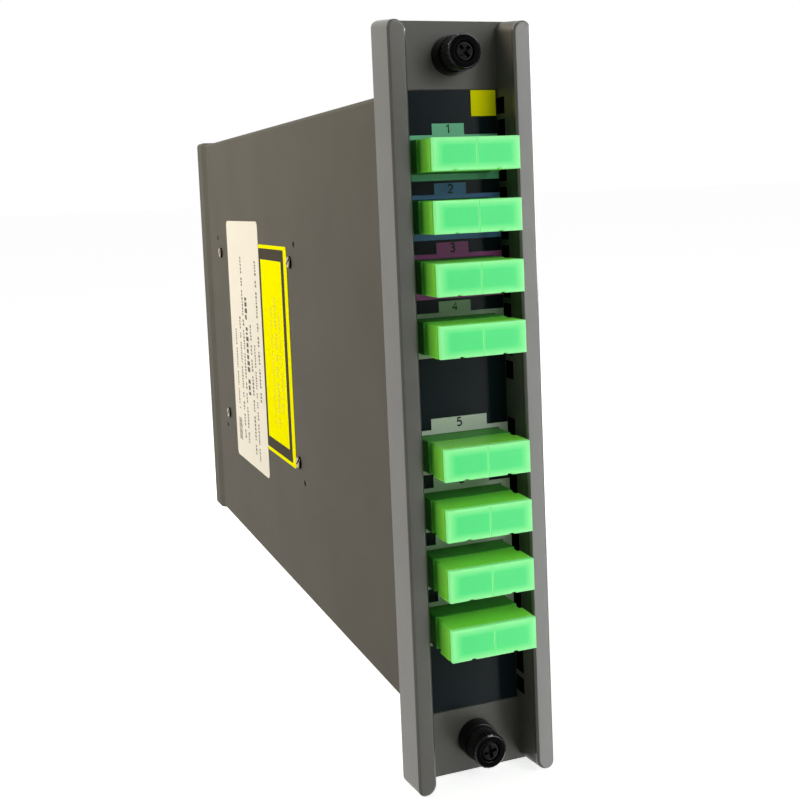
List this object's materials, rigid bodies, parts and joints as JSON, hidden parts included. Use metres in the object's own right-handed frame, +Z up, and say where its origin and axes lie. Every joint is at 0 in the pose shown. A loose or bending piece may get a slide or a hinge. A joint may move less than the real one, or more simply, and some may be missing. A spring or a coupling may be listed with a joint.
{
  "type": "cwdm multiplexer module",
  "caption": "Narrow plug-in fibre multiplexer module: grey cast bezel with captive thumbscrews, a column of green capped duplex ports and a flat sheet housing.",
  "frame": {"origin": "midway between the two captive screws, on the back face of the bezel where it meets the rack", "axes": "+X across the front to the viewer's right, +Y back into the rack, +Z up"},
  "size_m": [0.0424, 0.2759, 0.2178],
  "materials": {
    "cast_grey": "satin",
    "sheet_grey": "satin",
    "overlay_navy": "satin",
    "label_teal": "matte",
    "label_blue": "matte",
    "label_purple": "matte",
    "label_sage": "matte",
    "label_grey": "matte",
    "label_yellow": "satin",
    "label_white": "satin",
    "cap_green": "translucent satin",
    "adapter_green": "satin",
    "zirconia": "polished",
    "knob_black": "gloss",
    "black_steel": "satin",
    "steel": "satin",
    "brass": "satin",
    "cassette_grey": "matte",
    "sleeve_clear": "gloss"
  },
  "bodies": {
    "module": {"front_bezel": "cast_grey", "housing_tray": "sheet_grey", "housing_cover": "sheet_grey", "rear_pan": "sheet_grey", "face_overlay": "overlay_navy", "corner_label": "label_yellow", "white_label": "label_white", "yellow_label": "label_yellow", "port_label_1": "label_teal", "port_label_2": "label_blue", "port_label_3": "label_purple", "port_label_4": "label_sage", "port_label_5": "label_grey", "port_label_6": "label_grey", "port_label_7": "label_grey", "port_label_8": "label_grey", "duplex_adapter_1": "adapter_green", "duplex_adapter_2": "adapter_green", "duplex_adapter_3": "adapter_green", "duplex_adapter_4": "adapter_green", "duplex_adapter_5": "adapter_green", "duplex_adapter_6": "adapter_green", "duplex_adapter_7": "adapter_green", "duplex_adapter_8": "adapter_green", "split_sleeves": "zirconia", "adapter_screws": "steel", "screw_collar_top": "black_steel", "screw_collar_bottom": "black_steel", "bezel_screws": "black_steel", "cover_screws": "black_steel", "rear_screws": "black_steel", "side_screws": "steel", "standoffs": "brass", "filter_cassette": "cassette_grey", "cassette_lid": "cassette_grey", "fibre_spool": "cassette_grey", "filter_holder": "cassette_grey", "filter_tubes": "steel", "splice_holder": "cassette_grey", "splice_tubes": "sleeve_clear"},
    "cap_1": {"dust_cap_1": "cap_green"},
    "cap_2": {"dust_cap_2": "cap_green"},
    "cap_3": {"dust_cap_3": "cap_green"},
    "cap_4": {"dust_cap_4": "cap_green"},
    "cap_5": {"dust_cap_5": "cap_green"},
    "cap_6": {"dust_cap_6": "cap_green"},
    "cap_7": {"dust_cap_7": "cap_green"},
    "cap_8": {"dust_cap_8": "cap_green"},
    "screw_travel_top": {"slip_washer_top": "sleeve_clear"},
    "screw_top": {"thumb_knob_top": "knob_black", "captive_screw_top": "black_steel"},
    "screw_travel_bottom": {"slip_washer_bottom": "sleeve_clear"},
    "screw_bottom": {"thumb_knob_bottom": "knob_black", "captive_screw_bottom": "black_steel"}
  },
  "joints": [
    {"name": "cap_1_pull", "type": "slide", "parent": "module", "child": "cap_1", "axis": [0, -1, 0], "range_m": [0, 0.02]},
    {"name": "cap_2_pull", "type": "slide", "parent": "module", "child": "cap_2", "axis": [0, -1, 0], "range_m": [0, 0.02]},
    {"name": "cap_3_pull", "type": "slide", "parent": "module", "child": "cap_3", "axis": [0, -1, 0], "range_m": [0, 0.02]},
    {"name": "cap_4_pull", "type": "slide", "parent": "module", "child": "cap_4", "axis": [0, -1, 0], "range_m": [0, 0.02]},
    {"name": "cap_5_pull", "type": "slide", "parent": "module", "child": "cap_5", "axis": [0, -1, 0], "range_m": [0, 0.02]},
    {"name": "cap_6_pull", "type": "slide", "parent": "module", "child": "cap_6", "axis": [0, -1, 0], "range_m": [0, 0.02]},
    {"name": "cap_7_pull", "type": "slide", "parent": "module", "child": "cap_7", "axis": [0, -1, 0], "range_m": [0, 0.02]},
    {"name": "cap_8_pull", "type": "slide", "parent": "module", "child": "cap_8", "axis": [0, -1, 0], "range_m": [0, 0.02]},
    {"name": "screw_top_travel", "type": "slide", "parent": "module", "child": "screw_travel_top", "axis": [0, 1, 0], "range_m": [-0.0027, 0.00045]},
    {"name": "screw_top_turn", "type": "hinge", "parent": "screw_travel_top", "child": "screw_top", "pos_m": [0, 0, 0.0993], "axis": [0, 1, 0], "continuous": true},
    {"name": "screw_bottom_travel", "type": "slide", "parent": "module", "child": "screw_travel_bottom", "axis": [0, 1, 0], "range_m": [-0.0027, 0.00045]},
    {"name": "screw_bottom_turn", "type": "hinge", "parent": "screw_travel_bottom", "child": "screw_bottom", "pos_m": [0, 0, -0.0993], "axis": [0, 1, 0], "continuous": true}
  ]
}
